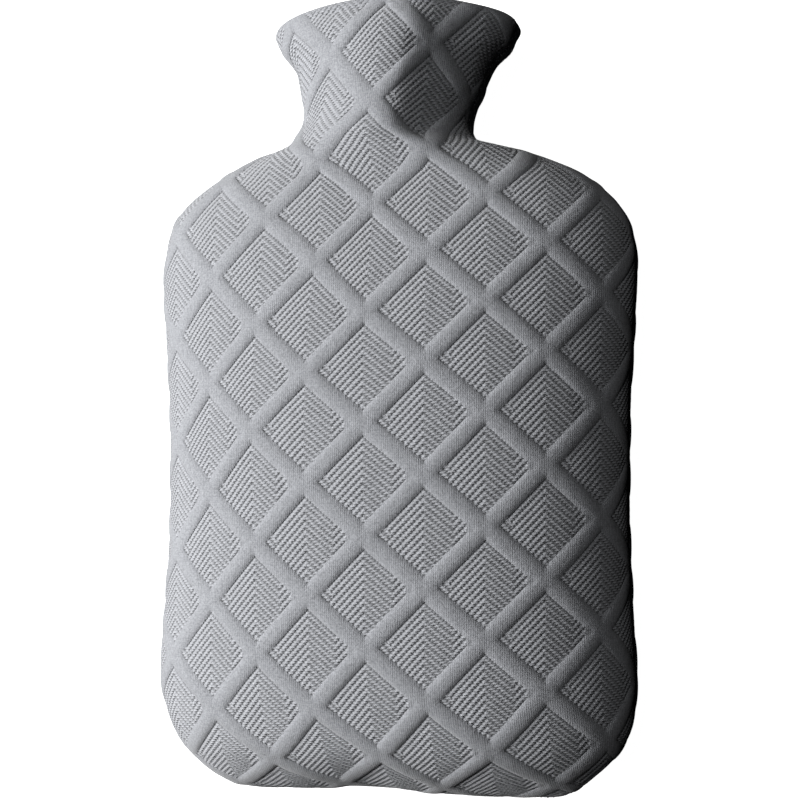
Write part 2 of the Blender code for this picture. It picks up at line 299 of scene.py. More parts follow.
@dataclass(frozen=True)
class DiamondKnit:
    """Layout and relief of the knit: a slanting lattice of bands and ribbed diamonds.

    A place in the lattice is a pair (u, v). Diamonds are centred on whole numbers, u grows
    down to the right and v down to the left.
    """

    column_pitch: float = 24.0
    row_pitch: float = 45.4
    row_origin: float = 333.9
    column_origin: float = 1.2
    row_rise: float = 0.076  # rows climb to the right, mm for each mm across
    column_bow: float = 3.3
    bow_centre: float = 180.0
    bow_reach: float = 110.0
    bow_column: float = -1.3
    bow_width: float = 2.2  # in columns
    band_share: float = 0.2  # of the lattice pitch
    wall_share: float = 0.02
    band_steps: int = 6
    ribs: int = 11
    left_corner: float = 1.7  # size of the left corner whose ribs turn, in rib pitches
    right_corner: float = 6.7  # the right corner's ribs turn this far from the middle
    corner_cut: float = 9.8  # rib pitches from the middle to the blunt right corner
    diamond_depth: float = 1.0
    diamond_puff: float = 0.25
    rib_height: float = 0.16
    band_drop: float = 0.5
    band_power: float = 2.6
    first_diamond: int = -5  # the lattice numbers between which a panel lies
    last_diamond: int = 12
    solve_rounds: int = 8

    @property
    def edge_half(self) -> float:
        """Half a diamond with its walls, in lattice units."""
        return (1.0 - self.band_share) / 2.0

    @property
    def floor_half(self) -> float:
        """Half a diamond's floor, in lattice units."""
        return self.edge_half - self.wall_share

    @property
    def rib_pitch(self) -> float:
        """One rib and its groove, in lattice units."""
        return 2.0 * self.floor_half / self.ribs

    def to_cloth(self, u: np.ndarray, v: np.ndarray) -> tuple[np.ndarray, np.ndarray]:
        """Find where places in the lattice lie on the cloth.

        Args:
            u, v: Places in the lattice.

        Returns:
            The lengths across and along the cloth.
        """
        column, row = u - v, (u + v) / 2.0
        p = self.column_origin + self.column_pitch * column
        q = self.row_origin - self.row_pitch * row + self.row_rise * p
        p = p - self.bow(column, q)
        right, up = self.pulled(p, q)
        return p + right, q + up

    @staticmethod
    def pulled(p: np.ndarray, q: np.ndarray) -> tuple[np.ndarray, np.ndarray]:
        """Give how far the cloth is pulled out of true.

        Args:
            p, q: Lengths across and along the cloth.

        Returns:
            The moves to the right and upwards.
        """
        right, up = np.zeros_like(p), np.zeros_like(q)
        for pull in PULLS:
            share = np.exp(-((p - pull.across)**2 + (q - pull.along)**2) / pull.reach**2)
            right += pull.right * share
            up += pull.up * share
        return right, up

    def bow(self, column: np.ndarray, q: np.ndarray) -> np.ndarray:
        """Give how far the lattice's columns bow to the left.

        Args:
            column: The columns' numbers.
            q: Lengths along the cloth.

        Returns:
            The moves to the left.
        """
        swing = 1.0 - ((q - self.bow_centre) / self.bow_reach) ** 2
        reach = ((column - self.bow_column) / self.bow_width) ** 2
        return self.column_bow * swing * np.exp(-reach)

    def to_lattice(self, p: np.ndarray, q: np.ndarray) -> tuple[np.ndarray, np.ndarray]:
        """Find where places on the cloth lie in the lattice.

        Args:
            p, q: Lengths across and along the cloth.

        Returns:
            The places u and v in the lattice.
        """
        before, height = p, q
        for _ in range(self.solve_rounds):
            right, up = self.pulled(before, height)
            before, height = p - right, q - up
        straight = before
        for _ in range(self.solve_rounds):
            column = (straight - self.column_origin) / self.column_pitch
            straight = before + self.bow(column, height)
        row = (self.row_origin + self.row_rise * straight - height) / self.row_pitch
        return row + column / 2.0, row - column / 2.0

    def lines(self) -> np.ndarray:
        """Place the mesh lines: two to a rib, one at each wall's foot, and the bands' own.

        Returns:
            Lattice numbers in rising order.
        """
        floor = np.linspace(-self.floor_half, self.floor_half, 2 * self.ribs + 1)
        band = np.linspace(self.edge_half, 1.0 - self.edge_half, self.band_steps + 1)
        diamonds = np.arange(self.first_diamond, self.last_diamond)
        return (diamonds[:, None] + np.concatenate([floor, band])).ravel()

    def ridge(self, u: np.ndarray, v: np.ndarray) -> np.ndarray:
        """Give 0 in the grooves between ribs and 1 along the ribs' tops.

        Args:
            u, v: Places in the lattice.

        Returns:
            The shares of a rib's height, which hold on a diamond's floor.
        """
        a, b = ((t - np.round(t) + self.floor_half) / self.rib_pitch for t in (u, v))
        left = (a < self.left_corner) & (b > self.ribs - self.left_corner)
        turned = left | (a - b > self.right_corner)
        count = np.where(turned, np.maximum(a, b), np.minimum(a, b))
        return 0.5 - 0.5 * np.cos(2.0 * np.pi * count)

    def depth(self, u: np.ndarray, v: np.ndarray) -> np.ndarray:
        """Give how far the knit's face lies below the bands' crowns.

        Args:
            u, v: Places in the lattice.

        Returns:
            The depths.
        """
        signed = [t - np.round(t) for t in (u, v)]
        off = [np.abs(t) for t in signed]
        far = np.maximum(*off)
        half_band = 0.5 - self.edge_half
        rounding = np.ones_like(far)
        for t in off:
            rounding *= np.clip((0.5 - t) / half_band, 0.0, 1.0) ** self.band_power
        band = self.band_drop * rounding
        puff = self.diamond_puff * (1.0 - (far / self.edge_half) ** 2)
        floor = self.diamond_depth - puff - self.rib_height * self.ridge(u, v)
        sunk = np.clip((self.edge_half - far) / self.wall_share, 0.0, 1.0)
        cut = self.corner_cut - (signed[0] - signed[1]) / self.rib_pitch
        sunk *= np.clip(cut + 0.5, 0.0, 1.0)
        return band * (1.0 - sunk) + floor * sunk


def feed(node: bpy.types.Node, inputs: dict[Any, Any]) -> None:
    """Set a node's inputs.

    Args:
        node: The node.
        inputs: For each input, by name or number, its value or the wire, output or node
            that feeds it, a node by its first output.
    """
    for key, value in inputs.items():
        if isinstance(value, bpy.types.Node):
            value = value.outputs[0]
        elif isinstance(value, Wire):
            value = value.socket
        if isinstance(value, bpy.types.NodeSocket):
            node.id_data.links.new(value, node.inputs[key])
        else:
            node.inputs[key].default_value = value


def add_node(tree: bpy.types.NodeTree, kind: str, inputs: dict[Any, Any] | None = None,
             **settings: Any) -> bpy.types.Node:
    """Add a node.

    Args:
        tree: The node tree.
        kind: The node's Blender type.
        inputs: What feeds its inputs.
        **settings: The node's own properties.

    Returns:
        The node.
    """
    node = tree.nodes.new(kind)
    for name, value in settings.items():
        setattr(node, name, value)
    feed(node, inputs or {})
    return node


@dataclass(frozen=True)
class Wire:
    """A node's output, with which sums are written as with a number."""

    tree: bpy.types.NodeTree
    socket: bpy.types.NodeSocket

    def through(self, operation: str, *others: "Wire | float", place: int = 0) -> "Wire":
        """Lead the wire through a math node.

        Args:
            operation: The node's operation.
            *others: The node's other inputs.
            place: The input that the wire itself takes up.

        Returns:
            The node's output.
        """
        numbers = [*others[:place], self, *others[place:]]
        node = add_node(self.tree, "ShaderNodeMath", dict(enumerate(numbers)),
                        operation=operation)
        return Wire(self.tree, node.outputs[0])

    def __add__(self, other: "Wire | float") -> "Wire":
        """Add a wire or a number."""
        return self.through("ADD", other)

    def __sub__(self, other: "Wire | float") -> "Wire":
        """Take away a wire or a number."""
        return self.through("SUBTRACT", other)

    def __rsub__(self, other: float) -> "Wire":
        """Take the wire away from a number."""
        return self.through("SUBTRACT", other, place=1)

    def __mul__(self, other: "Wire | float") -> "Wire":
        """Multiply by a wire or a number."""
        return self.through("MULTIPLY", other)

    def __truediv__(self, other: float) -> "Wire":
        """Divide by a number."""
        return self.through("DIVIDE", other)

    def __gt__(self, other: float) -> "Wire":
        """Give 1 where the wire is more than a number, else 0."""
        return self.through("GREATER_THAN", other)

    def wave(self, turn: float = 2.0 * math.pi) -> "Wire":
        """Give the cosine of the wire's whole turns, or of another multiple of it."""
        return (self * turn).through("COSINE")

    def share(self) -> "Wire":
        """Keep the wire between 0 and 1."""
        return self.through("MAXIMUM", 0.0).through("MINIMUM", 1.0)


def linear(colour: str) -> tuple[float, float, float, float]:
    """Turn an sRGB colour into the linear one that Blender works with.

    Args:
        colour: The colour as a hash sign and six hex digits.

    Returns:
        Red, green and blue from 0 to 1, and full alpha.
    """
    shares = [int(colour[k:k + 2], 16) / 255.0 for k in (1, 3, 5)]
    steps = [c / 12.92 if c <= 0.04045 else ((c + 0.055) / 1.055) ** 2.4 for c in shares]
    return (*steps, 1.0)


def new_material(name: str) -> tuple[bpy.types.Material, bpy.types.Node]:
    """Make a material with a plain surface shader.

    Args:
        name: Its name.

    Returns:
        The material, and its shader's node.
    """
    material = bpy.data.materials.new(name)
    material.use_nodes = True
    return material, material.node_tree.nodes["Principled BSDF"]


def add_object(name: str, data: Any) -> bpy.types.Object:
    """Put a new object into the scene.

    Args:
        name: Its name.
        data: Its mesh, lamp or camera.

    Returns:
        The object.
    """
    made = bpy.data.objects.new(name, data)
    bpy.context.scene.collection.objects.link(made)
    return made


@dataclass(frozen=True)
class DoubleKnit:
    """Matt double knit jersey of grey acrylic and cotton yarn, brushed a little.

    Its plain bands show fine upright wales, with painted shade in their hollows. In the
    diamonds single stitches stand out as grains along the ribs, lightened by a little painted
    highlight, and the grooves between them are darkened with painted shade.
    """

    name: str = "grey_double_knit_jersey"
    yarn: str = "#b6b8bd"
    # the dark colour mixed into the yarn, for painted shade and for a darker tone
    shade: str = "#38393d"
    wale: float = 0.9  # real wales are about 0.7 mm, too fine to show, so drawn coarser
    course: float = 0.9
    wale_height: float = 0.07
    wale_swing: float = 0.3  # how much of the jersey's relief is its wales
    stitch_swing: float = 0.2  # and its single stitches
    # painted shade in the hollows between the bands' wales
    wale_shade: float = 0.2
    band_shade: float = 0.19
    stitches: float = 1.5  # to a rib's pitch; real ones are two, too fine to show
    stitch_height: float = 0.25
    groove_height: float = 0.24
    # painted shade in the grooves between the ribs
    groove_shade: float = 0.72
    groove_power: float = 3.6  # more makes the grooves narrower
    edge_fade: float = 0.6  # the ribs end over this share of a diamond's wall
    cut_past: float = 0.3  # and this many rib pitches past the blunt corner's cut
    dotted: float = 0.6  # how far pits part a groove into dots
    back_dotted: float = 0.15  # how much further in a chevron's right arm
    wiggle: float = 0.15  # in rib pitches
    # painted highlight on the stitches' tops
    stitch_light: float = 0.1
    mean_shade: float = 0.22  # the shade colour's share in the whole cloth
    fuzz: float = 0.8  # size of the loose fibres' unevenness
    fuzz_height: float = 0.18
    fuzz_shade: float = 1.0
    pucker: float = 9.0  # size of the cloth's slow unevenness
    pucker_height: float = 0.5
    sheen: float = 0.3
    roughness: float = 0.92

    def build(self, knit: DiamondKnit) -> bpy.types.Material:
        """Make the material.

        Args:
            knit: The lattice that the pattern follows.

        Returns:
            The material, which reads the UV maps lattice and cloth and the attribute pattern.
        """
        material, shader = new_material(self.name)
        tree = material.node_tree
        height, shading = self.weave(tree, knit)
        colour = add_node(tree, "ShaderNodeMix", {
            "Factor": shading, 6: linear(self.yarn), 7: linear(self.shade)}, data_type="RGBA")
        bump = add_node(tree, "ShaderNodeBump", {
            "Strength": 1.0, "Distance": MM, "Height": height})
        feed(shader, {"Base Color": colour.outputs[2], "Roughness": self.roughness,
                      "Sheen Weight": self.sheen, "Sheen Roughness": 0.6,
                      "Specular IOR Level": 0.25, "Normal": bump})
        return material

    def coordinates(self, tree: bpy.types.NodeTree) -> list[Wire]:
        """Add the nodes that read the cloth's own coordinates.

        Args:
            tree: The material's tree.

        Returns:
            The lattice's u and v, the cloth's p and q in metres, the pattern's share, and
            the random unevenness of the loose fibres and of the cloth.
        """
        found = []
        for name in ("lattice", "cloth"):
            uv_map = add_node(tree, "ShaderNodeUVMap", uv_map=name)
            found += add_node(tree, "ShaderNodeSeparateXYZ", {0: uv_map}).outputs[:2]
        shown = add_node(tree, "ShaderNodeAttribute", attribute_name="pattern")
        found.append(shown.outputs["Fac"])
        places = add_node(tree, "ShaderNodeTexCoord").outputs["Object"]
        for size, detail, rough in ((self.fuzz, 3.0, 0.6), (self.pucker, 2.0, 0.5)):
            noise = add_node(tree, "ShaderNodeTexNoise", {
                "Vector": places, "Scale": 1.0 / (size * MM), "Detail": detail,
                "Roughness": rough})
            found.append(noise.outputs[0])
        return [Wire(tree, output) for output in found]

    def weave(self, tree: bpy.types.NodeTree, knit: DiamondKnit) -> tuple[Wire, Wire]:
        """Add the sums that turn the coordinates into a height and a shading.

        Args:
            tree: The material's tree.
            knit: The lattice that the pattern follows.

        Returns:
            The height in millimetres, and the share of the shade colour.
        """
        u, v, p, q, pattern, fuzz, cloudy = self.coordinates(tree)
        u_in, v_in = ((t + 0.5).through("FRACT") for t in (u, v))
        a, b = ((t - (0.5 - knit.floor_half)) / knit.rib_pitch for t in (u_in, v_in))
        u_mid, v_mid = u_in - 0.5, v_in - 0.5
        far = u_mid.through("ABSOLUTE").through("MAXIMUM", v_mid.through("ABSOLUTE"))
        fade = knit.wall_share * self.edge_fade
        uncut = 1.0 - (u_mid - v_mid > (knit.corner_cut + self.cut_past) * knit.rib_pitch)
        inside = ((knit.floor_half + fade - far) / fade).share() * uncut * pattern
        outside = 1.0 - inside
        # Nested chevrons, with the ribs turned in the left and the right corner.
        low, across = a.through("MINIMUM", b), a - b
        in_right = across > knit.right_corner
        in_left = (b > knit.ribs - knit.left_corner) * a.through("LESS_THAN", knit.left_corner)
        count = (in_right + in_left) * (a.through("MAXIMUM", b) - low) + low
        back_arm = (across > 0.0) - in_right
        # Stitches stand along the ribs, with a pit beside each in the groove.
        down_wave = (a + b).wave(self.stitches * 2.0 * math.pi)
        rib_wave = (down_wave * self.wiggle + count).wave()
        groove = (rib_wave * 0.5 + 0.5).through("POWER", self.groove_power)
        stitches = down_wave * -0.5 + 0.5
        pitted = groove * (1.0 - stitches * (back_arm * self.back_dotted + self.dotted))
        grain = (1.0 - groove) * stitches
        # Upright wales of V-shaped stitches on the bands, with painted shade in their hollows.
        wale_at = p / (self.wale * MM)
        leg = (wale_at.through("FRACT") - 0.5).through("ABSOLUTE")
        stitch_wave = (q / (self.course * MM) - leg).wave()
        jersey = stitch_wave * self.stitch_swing + (wale_at.wave() * self.wale_swing + 0.5)
        height = (jersey * self.wale_height * outside
                  + (grain * self.stitch_height - pitted * self.groove_height) * inside
                  + fuzz * self.fuzz_height + cloudy * self.pucker_height)
        # The shade colour's share: painted shade in the grooves and in the wales' hollows, a
        # painted highlight on the stitches, a darker tone on the bands, and random unevenness.
        dark = ((pitted * self.groove_shade - grain * self.stitch_light) * inside
                + ((0.5 - jersey) * self.wale_shade + self.band_shade) * outside
                + ((0.5 - fuzz) * self.fuzz_shade + self.mean_shade))
        return height, dark.share()


@dataclass(frozen=True)
class SewingYarn:
    """Twisted polyester sewing yarn, dyed to the knit, with a faint lustre."""

    name: str = "grey_twisted_sewing_yarn"
    colour: str = "#8a8b92"
    ply: float = 0.35  # length of one turn of the twist
    roughness: float = 0.75

    def build(self) -> bpy.types.Material:
        """Make the material.

        Returns:
            The material.
        """
        material, shader = new_material(self.name)
        tree = material.node_tree
        places = add_node(tree, "ShaderNodeTexCoord").outputs["Object"]
        twist = add_node(tree, "ShaderNodeTexNoise", {
            "Vector": places, "Scale": 1.0 / (self.ply * MM)})
        bump = add_node(tree, "ShaderNodeBump", {
            "Strength": 0.6, "Distance": 0.1 * MM, "Height": twist})
        feed(shader, {"Base Color": linear(self.colour), "Roughness": self.roughness,
                      "Sheen Weight": 0.1, "Normal": bump})
        return material


@dataclass
class PanelMesh:
    """Points and faces of a panel while it is put together.

    A point's row holds its place in space, its lengths across and along the cloth, its place
    in the lattice, and how much of the pattern shows there, from 0 to 1.
    """

    rows: np.ndarray = field(default_factory=lambda: np.empty((0, 8)))
    faces: list[np.ndarray] = field(default_factory=list)

    def add(self, *columns: np.ndarray) -> np.ndarray:
        """Store mesh points.

        Args:
            *columns: The parts of the points' rows, in order.

        Returns:
            The points' numbers.
        """
        count = len(self.rows)
        self.rows = np.concatenate([self.rows, np.column_stack(columns)])
        return np.arange(count, len(self.rows))

    def join(self, upper: np.ndarray, lower: np.ndarray) -> None:
        """Fill the strip between two rows with equally many points."""
        a, b, c, d = upper[:-1], upper[1:], lower[1:], lower[:-1]
        self.faces.append(np.concatenate([np.stack([a, b, c], 1), np.stack([a, c, d], 1)]))

    def to_mesh(self, name: str) -> bpy.types.Mesh:
        """Make Blender's mesh, closed and with its faces outwards.

        Args:
            name: The mesh's name.

        Returns:
            The mesh, in metres, with the UV maps lattice and cloth.
        """
        mesh = bpy.data.meshes.new(name)
        points = self.rows[:, :3] * MM
        mesh.from_pydata(points.tolist(), [], np.concatenate(self.faces).tolist())
        work = bmesh.new()
        work.from_mesh(mesh)
        bmesh.ops.recalc_face_normals(work, faces=work.faces)
        work.to_mesh(mesh)
        work.free()
        corners = np.zeros(len(mesh.loops), dtype=np.int32)
        mesh.loops.foreach_get("vertex_index", corners)
        for layer, values in (("cloth", self.rows[:, 3:5] * MM), ("lattice", self.rows[:, 5:7])):
            uv = mesh.uv_layers.new(name=layer)
            uv.data.foreach_set("uv", values[corners].astype(np.float32).ravel())
        share = mesh.attributes.new("pattern", "FLOAT", "POINT")
        share.data.foreach_set("value", self.rows[:, 7].astype(np.float32))
        mesh.shade_smooth()
        return mesh


@dataclass
class CoverPanel:
    """One panel of the cover: its knitted face, rolled edge, hem and smooth inner side."""

    name: str
    facing: Facing
    node: str
    slot: str
    loft: Loft = field(default_factory=Loft)
    knit: DiamondKnit = field(default_factory=DiamondKnit)
    snap: float = 0.35  # mesh points closer to the panel's edge than this move onto it
    seam_ease: float = 25.0  # the relief grows to its full depth this far from the seam
    seam_relief: float = 0.4  # the share of the relief that is left at the seam
    seam_tuck: float = 1.0  # the cloth turns in by this much at the seam
    seam_tuck_reach: float = 3.0
    rim_droop: float = 3.2  # the cloth already bends inwards by this below the collar's edge
    rim_droop_reach: float = 9.0
    hem_roll: float = 3.9
    hem_depth: float = 15.0
    hem_step: float = 2.5
    roll_steps: int = 12
    roll_fade: float = 1.5  # the pattern fades out over the first two thirds of the turn
    hem_rows: int = 6
    lining_rows: int = 44
    lining_power: float = 1.15  # these rows lie closer towards the bottom seam
    edge_samples: int = 700
    sharp_angle: float = 80.0  # degrees between faces, from which their edge is sharp

    def __post_init__(self) -> None:
        """Work out the surface that the cloth lies on."""
        self.form = PanelForm(self.facing, self.loft)

    def room(self, p: np.ndarray, q: np.ndarray) -> np.ndarray:
        """Give the distance from the seam or, past it, a negative number."""
        left, right = self.form.edges(q)
        return np.minimum(np.minimum(p - left, right - p), q)

    def onto_edge(self, places: np.ndarray) -> np.ndarray:
        """Move places on the cloth to the nearest point of the panel's edge.

        Args:
            places: Lengths across and along the cloth.

        Returns:
            The moved places.
        """
        q = np.linspace(0.0, self.form.length, self.edge_samples)
        left, right = self.form.edges(q)
        ring = np.concatenate([np.stack([left, q], 1), np.stack([right, q], 1)[::-1]])
        start, step = ring, np.roll(ring, -1, axis=0) - ring
        away = places[:, None, :] - start[None]
        along = np.sum(away * step, axis=2) / np.maximum(np.sum(step * step, axis=1), TINY)
        nearest = start + np.clip(along, 0.0, 1.0)[:, :, None] * step
        gaps = np.linalg.norm(places[:, None, :] - nearest, axis=2)
        return nearest[np.arange(len(places)), gaps.argmin(axis=1)]

    def lay_face(self, mesh: PanelMesh) -> tuple[np.ndarray, np.ndarray]:
        """Mesh the knitted face along the lattice and cut it at the panel's edge.

        Args:
            mesh: The panel's mesh, which gets the face.

        Returns:
            The point numbers along the collar's edge, and along the seam from the collar's
            left corner round the bottom to its right corner.
        """
        lines = self.knit.lines()
        u, v = np.meshgrid(lines, lines, indexing="ij")
        p, q = self.knit.to_cloth(u, v)
        held = np.minimum(self.room(p, q), self.form.length - q) > self.snap
        kept = held[:-1, :-1] | held[1:, :-1] | held[1:, 1:] | held[:-1, 1:]
        a, b = np.nonzero(kept)
        first = a * len(lines) + b
        across = first + len(lines)
        quads = np.stack([first, across, across + 1, first + 1], 1)
        used, quads = np.unique(quads, return_inverse=True)
        quads = quads.reshape(-1, 4)
        places = np.stack([p.ravel(), q.ravel()], 1)[used]
        outside = ~held.ravel()[used]
        places[outside] = self.onto_edge(places[outside])
        ring = self.edge_ring(quads)
        left, right = self.form.edges(self.form.length)
        corners = []
        for edge in (left, right):
            corner = np.array((edge, self.form.length))
            nearest = ring[np.linalg.norm(places[ring] - corner, axis=1).argmin()]
            places[nearest] = corner
            corners.append(nearest)
        lattice = np.stack([u.ravel(), v.ravel()], 1)[used]
        lattice[outside] = np.stack(self.knit.to_lattice(*places[outside].T), 1)
        numbers = mesh.add(self.face_points(places, lattice), places, lattice,
                           np.ones(len(places)))
        mesh.faces.append(numbers[np.concatenate([quads[:, (0, 1, 2)], quads[:, (0, 2, 3)]])])
        ring = np.roll(ring, -int(np.flatnonzero(ring == corners[0])[0]))
        split = int(np.flatnonzero(ring == corners[1])[0])
        rim, seam = ring[:split + 1], np.append(ring[split:], ring[0])[::-1]
        return rim, seam

    @staticmethod
    def edge_ring(quads: np.ndarray) -> np.ndarray:
        """Walk once round the edge of an open mesh of quads.

        Args:
            quads: Point numbers, four for each face, all in the same turning direction.

        Returns:
            The point numbers in order.
        """
        edges = np.concatenate([quads[:, (k, (k + 1) % 4)] for k in range(4)])
        _, index, count = np.unique(np.sort(edges, axis=1), axis=0, return_index=True,
                                    return_counts=True)
        after = dict(edges[index[count == 1]].tolist())
        start = next(iter(after))
        walk = [start]
        while after[walk[-1]] != start:
            walk.append(after[walk[-1]])
        return np.array(walk)

    def face_points(self, places: np.ndarray, lattice: np.ndarray) -> np.ndarray:
        """Place the knitted face's points in space.

        Args:
            places: Their lengths across and along the cloth.
            lattice: Their places in the lattice.

        Returns:
            Points, sunk by the knit's relief and tucked in at the seam.
        """
        base, normal = self.form.at(*places.T)
        points = base - normal * self.sunk(places, lattice)[:, None]
        on_seam = self.room(*places.T) <= TINY
        points[on_seam, 2] = self.form.seam_level
        points[:, 2] = np.maximum(points[:, 2], 0.0)
        return points

    def sunk(self, places: np.ndarray, lattice: np.ndarray, relief: float = 1.0) -> np.ndarray:
        """Give how far the knit's face lies inwards of the panel's outer surface.

        Args:
            places: Lengths across and along the cloth.
            lattice: Places in the lattice.
            relief: The share of the knit's relief that shows.

        Returns:
            The depths, with the tuck at the seam and the bend below the collar's edge.
        """
        left, right = self.form.edges(places[:, 1])
        room = np.maximum(self.room(*places.T), 0.0)
        ease = np.minimum(room / self.seam_ease, 1.0)
        share = (self.seam_relief + (1.0 - self.seam_relief) * ease) * (room > TINY)
        tuck = np.clip(1.0 - room / self.seam_tuck_reach, 0.0, 1.0) ** 2
        below = (self.form.length - places[:, 1]) / self.rim_droop_reach
        share_across = (places[:, 0] - left) / (right - left)
        droop = (np.clip(1.0 - below, 0.0, 1.0) * 4.0 * share_across * (1.0 - share_across)) ** 2
        return (relief * share * self.knit.depth(*lattice.T) + self.seam_tuck * tuck
                + self.rim_droop * droop)

    def inner_rows(self) -> list[tuple[float, float, float]]:
        """List the rows from the rolled edge down the inner side.

        Returns:
            For each row its length along the cloth, how far it lies inwards of the outer
            surface, and the share of the turn over the collar's edge, up to 1.
        """
        top = self.form.length
        rows = [(top, 0.0, turn) for turn in np.linspace(0.0, 1.0, self.roll_steps + 1)[1:]]
        hem = np.linspace(top, top - self.hem_depth, self.hem_rows + 1)[1:]
        rows += [(along, 2.0 * self.hem_roll, 1.0) for along in hem]
        lining_top = top - self.hem_depth - self.hem_step
        falls = 1.0 - np.linspace(0.0, 1.0, self.lining_rows)
        rows += [(lining_top * fall ** self.lining_power, self.loft.cloth, 1.0) for fall in falls]
        return rows

    def lay_inside(self, mesh: PanelMesh, rim: np.ndarray) -> list[np.ndarray]:
        """Turn the cloth over at the collar and add the hem and the inner side.

        Args:
            mesh: The panel's mesh, which gets them.
            rim: Point numbers along the face's upper edge.

        Returns:
            The point numbers of each row.
        """
        top = self.form.length
        left, right = self.form.edges(top)
        share = (mesh.rows[rim, 3] - left) / (right - left)
        rows = []
        for along, inwards, turn in self.inner_rows():
            left, right = self.form.edges(along)
            p, q = left + (right - left) * share, np.full(len(share), along)
            base, normal = self.form.at(p, q)
            over = top + self.hem_roll * math.pi * turn
            lattice = np.stack(self.knit.to_lattice(p, np.full(len(share), over)), 1)
            if inwards == 0.0:
                climb = base - self.form.at(p, q - 1.0)[0]
                climb /= np.linalg.norm(climb, axis=1)[:, None]
                sunk = self.sunk(np.stack([p, q], 1), lattice, 1.0 - turn)
                reach = self.hem_roll - sunk * (turn < 0.5)
                inwards = self.hem_roll - reach * math.cos(math.pi * turn)
                points = (base - normal * inwards[:, None]
                          + climb * self.hem_roll * math.sin(math.pi * turn))
            else:
                points = base - normal * inwards
            on_seam = slice(None) if along == 0.0 else (0, -1)
            points[on_seam, 2] = self.form.seam_level
            cloth = np.stack([p, 2.0 * top - q if turn == 1.0 else q + over - top], 1)
            fade = np.full(len(share), max(0.0, 1.0 - self.roll_fade * turn))
            row = mesh.add(points, cloth, lattice, fade)
            mesh.join(rows[-1] if rows else rim, row)
            rows.append(row)
        return rows

    def close_seam(self, mesh: PanelMesh, seam: np.ndarray, rows: list[np.ndarray]) -> None:
        """Fill the panel's cut edge, which lies against the other panel's.

        Args:
            mesh: The panel's mesh, which gets the faces.
            seam: Point numbers along the face's seam edge.
            rows: Point numbers of the inner side's rows.
        """
        ring = np.concatenate([seam, [row[-1] for row in rows], rows[-1][-2:0:-1],
                               [row[0] for row in reversed(rows)]])
        flat = [Vector((x, y, 0.0)) for x, y in mesh.rows[ring, :2]]
        mesh.faces.append(ring[np.array(tessellate_polygon([flat]))])

    def build(self) -> bpy.types.Object:
        """Make the panel as one closed piece of cloth.

        Returns:
            The panel's object, still in the cloth's own frame.
        """
        mesh = PanelMesh()
        rim, seam = self.lay_face(mesh)
        rows = self.lay_inside(mesh, rim)
        self.close_seam(mesh, seam, rows)
        data = mesh.to_mesh(self.name)
        data.set_sharp_from_angle(angle=math.radians(self.sharp_angle))
        self.crease_ribs(mesh, data)
        return add_object(self.name, data)

    def crease_ribs(self, mesh: PanelMesh, data: bpy.types.Mesh) -> None:
        """Shade the diamonds' floors with creases along the ribs' tops and grooves.

        Args:
            mesh: The panel's points with their places in the lattice.
            data: Blender's mesh of them.
        """
        lattice = mesh.rows[:, 5:7]
        off = np.abs(lattice - np.round(lattice)).max(axis=1)
        floor = (off <= self.knit.floor_half + TINY) & (mesh.rows[:, 7] == 1.0)
        corners = np.zeros(len(data.loops), dtype=np.int32)
        data.loops.foreach_get("vertex_index", corners)
        creased = floor[corners.reshape(-1, 3)].all(axis=1)
        data.polygons.foreach_set("use_smooth", ~creased)

    def flat_size(self) -> tuple[float, float, float]:
        """Measure the cut panel with its hem.

        Returns:
            Its width, length and area, in metres.
        """
        left, right = self.form.edges(self.form.along)
        wide = right - left
        hem = math.pi * self.hem_roll + self.hem_depth
        face = float(np.sum((wide[1:] + wide[:-1]) / 2.0 * np.diff(self.form.along)))
        area = face + float(wide[-1]) * hem
        return float(wide.max()) * MM, (self.form.length + hem) * MM, area * MM * MM

    def declare(self, panel: bpy.types.Object, body: str,
                sewn: list[bpy.types.Object]) -> None:
        """Attach the panel to its body, hide the CAD part that it stands for and log its size.

        Args:
            panel: The panel's object.
            body: The CAD body that it rides on.
            sewn: Not used.
        """
        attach(panel, body)
        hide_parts(self.node)
        width, length, area = self.flat_size()
        log.info("%s: %d faces, cut %.0f x %.0f mm", self.name, len(panel.data.polygons),
                 width / MM, length / MM)


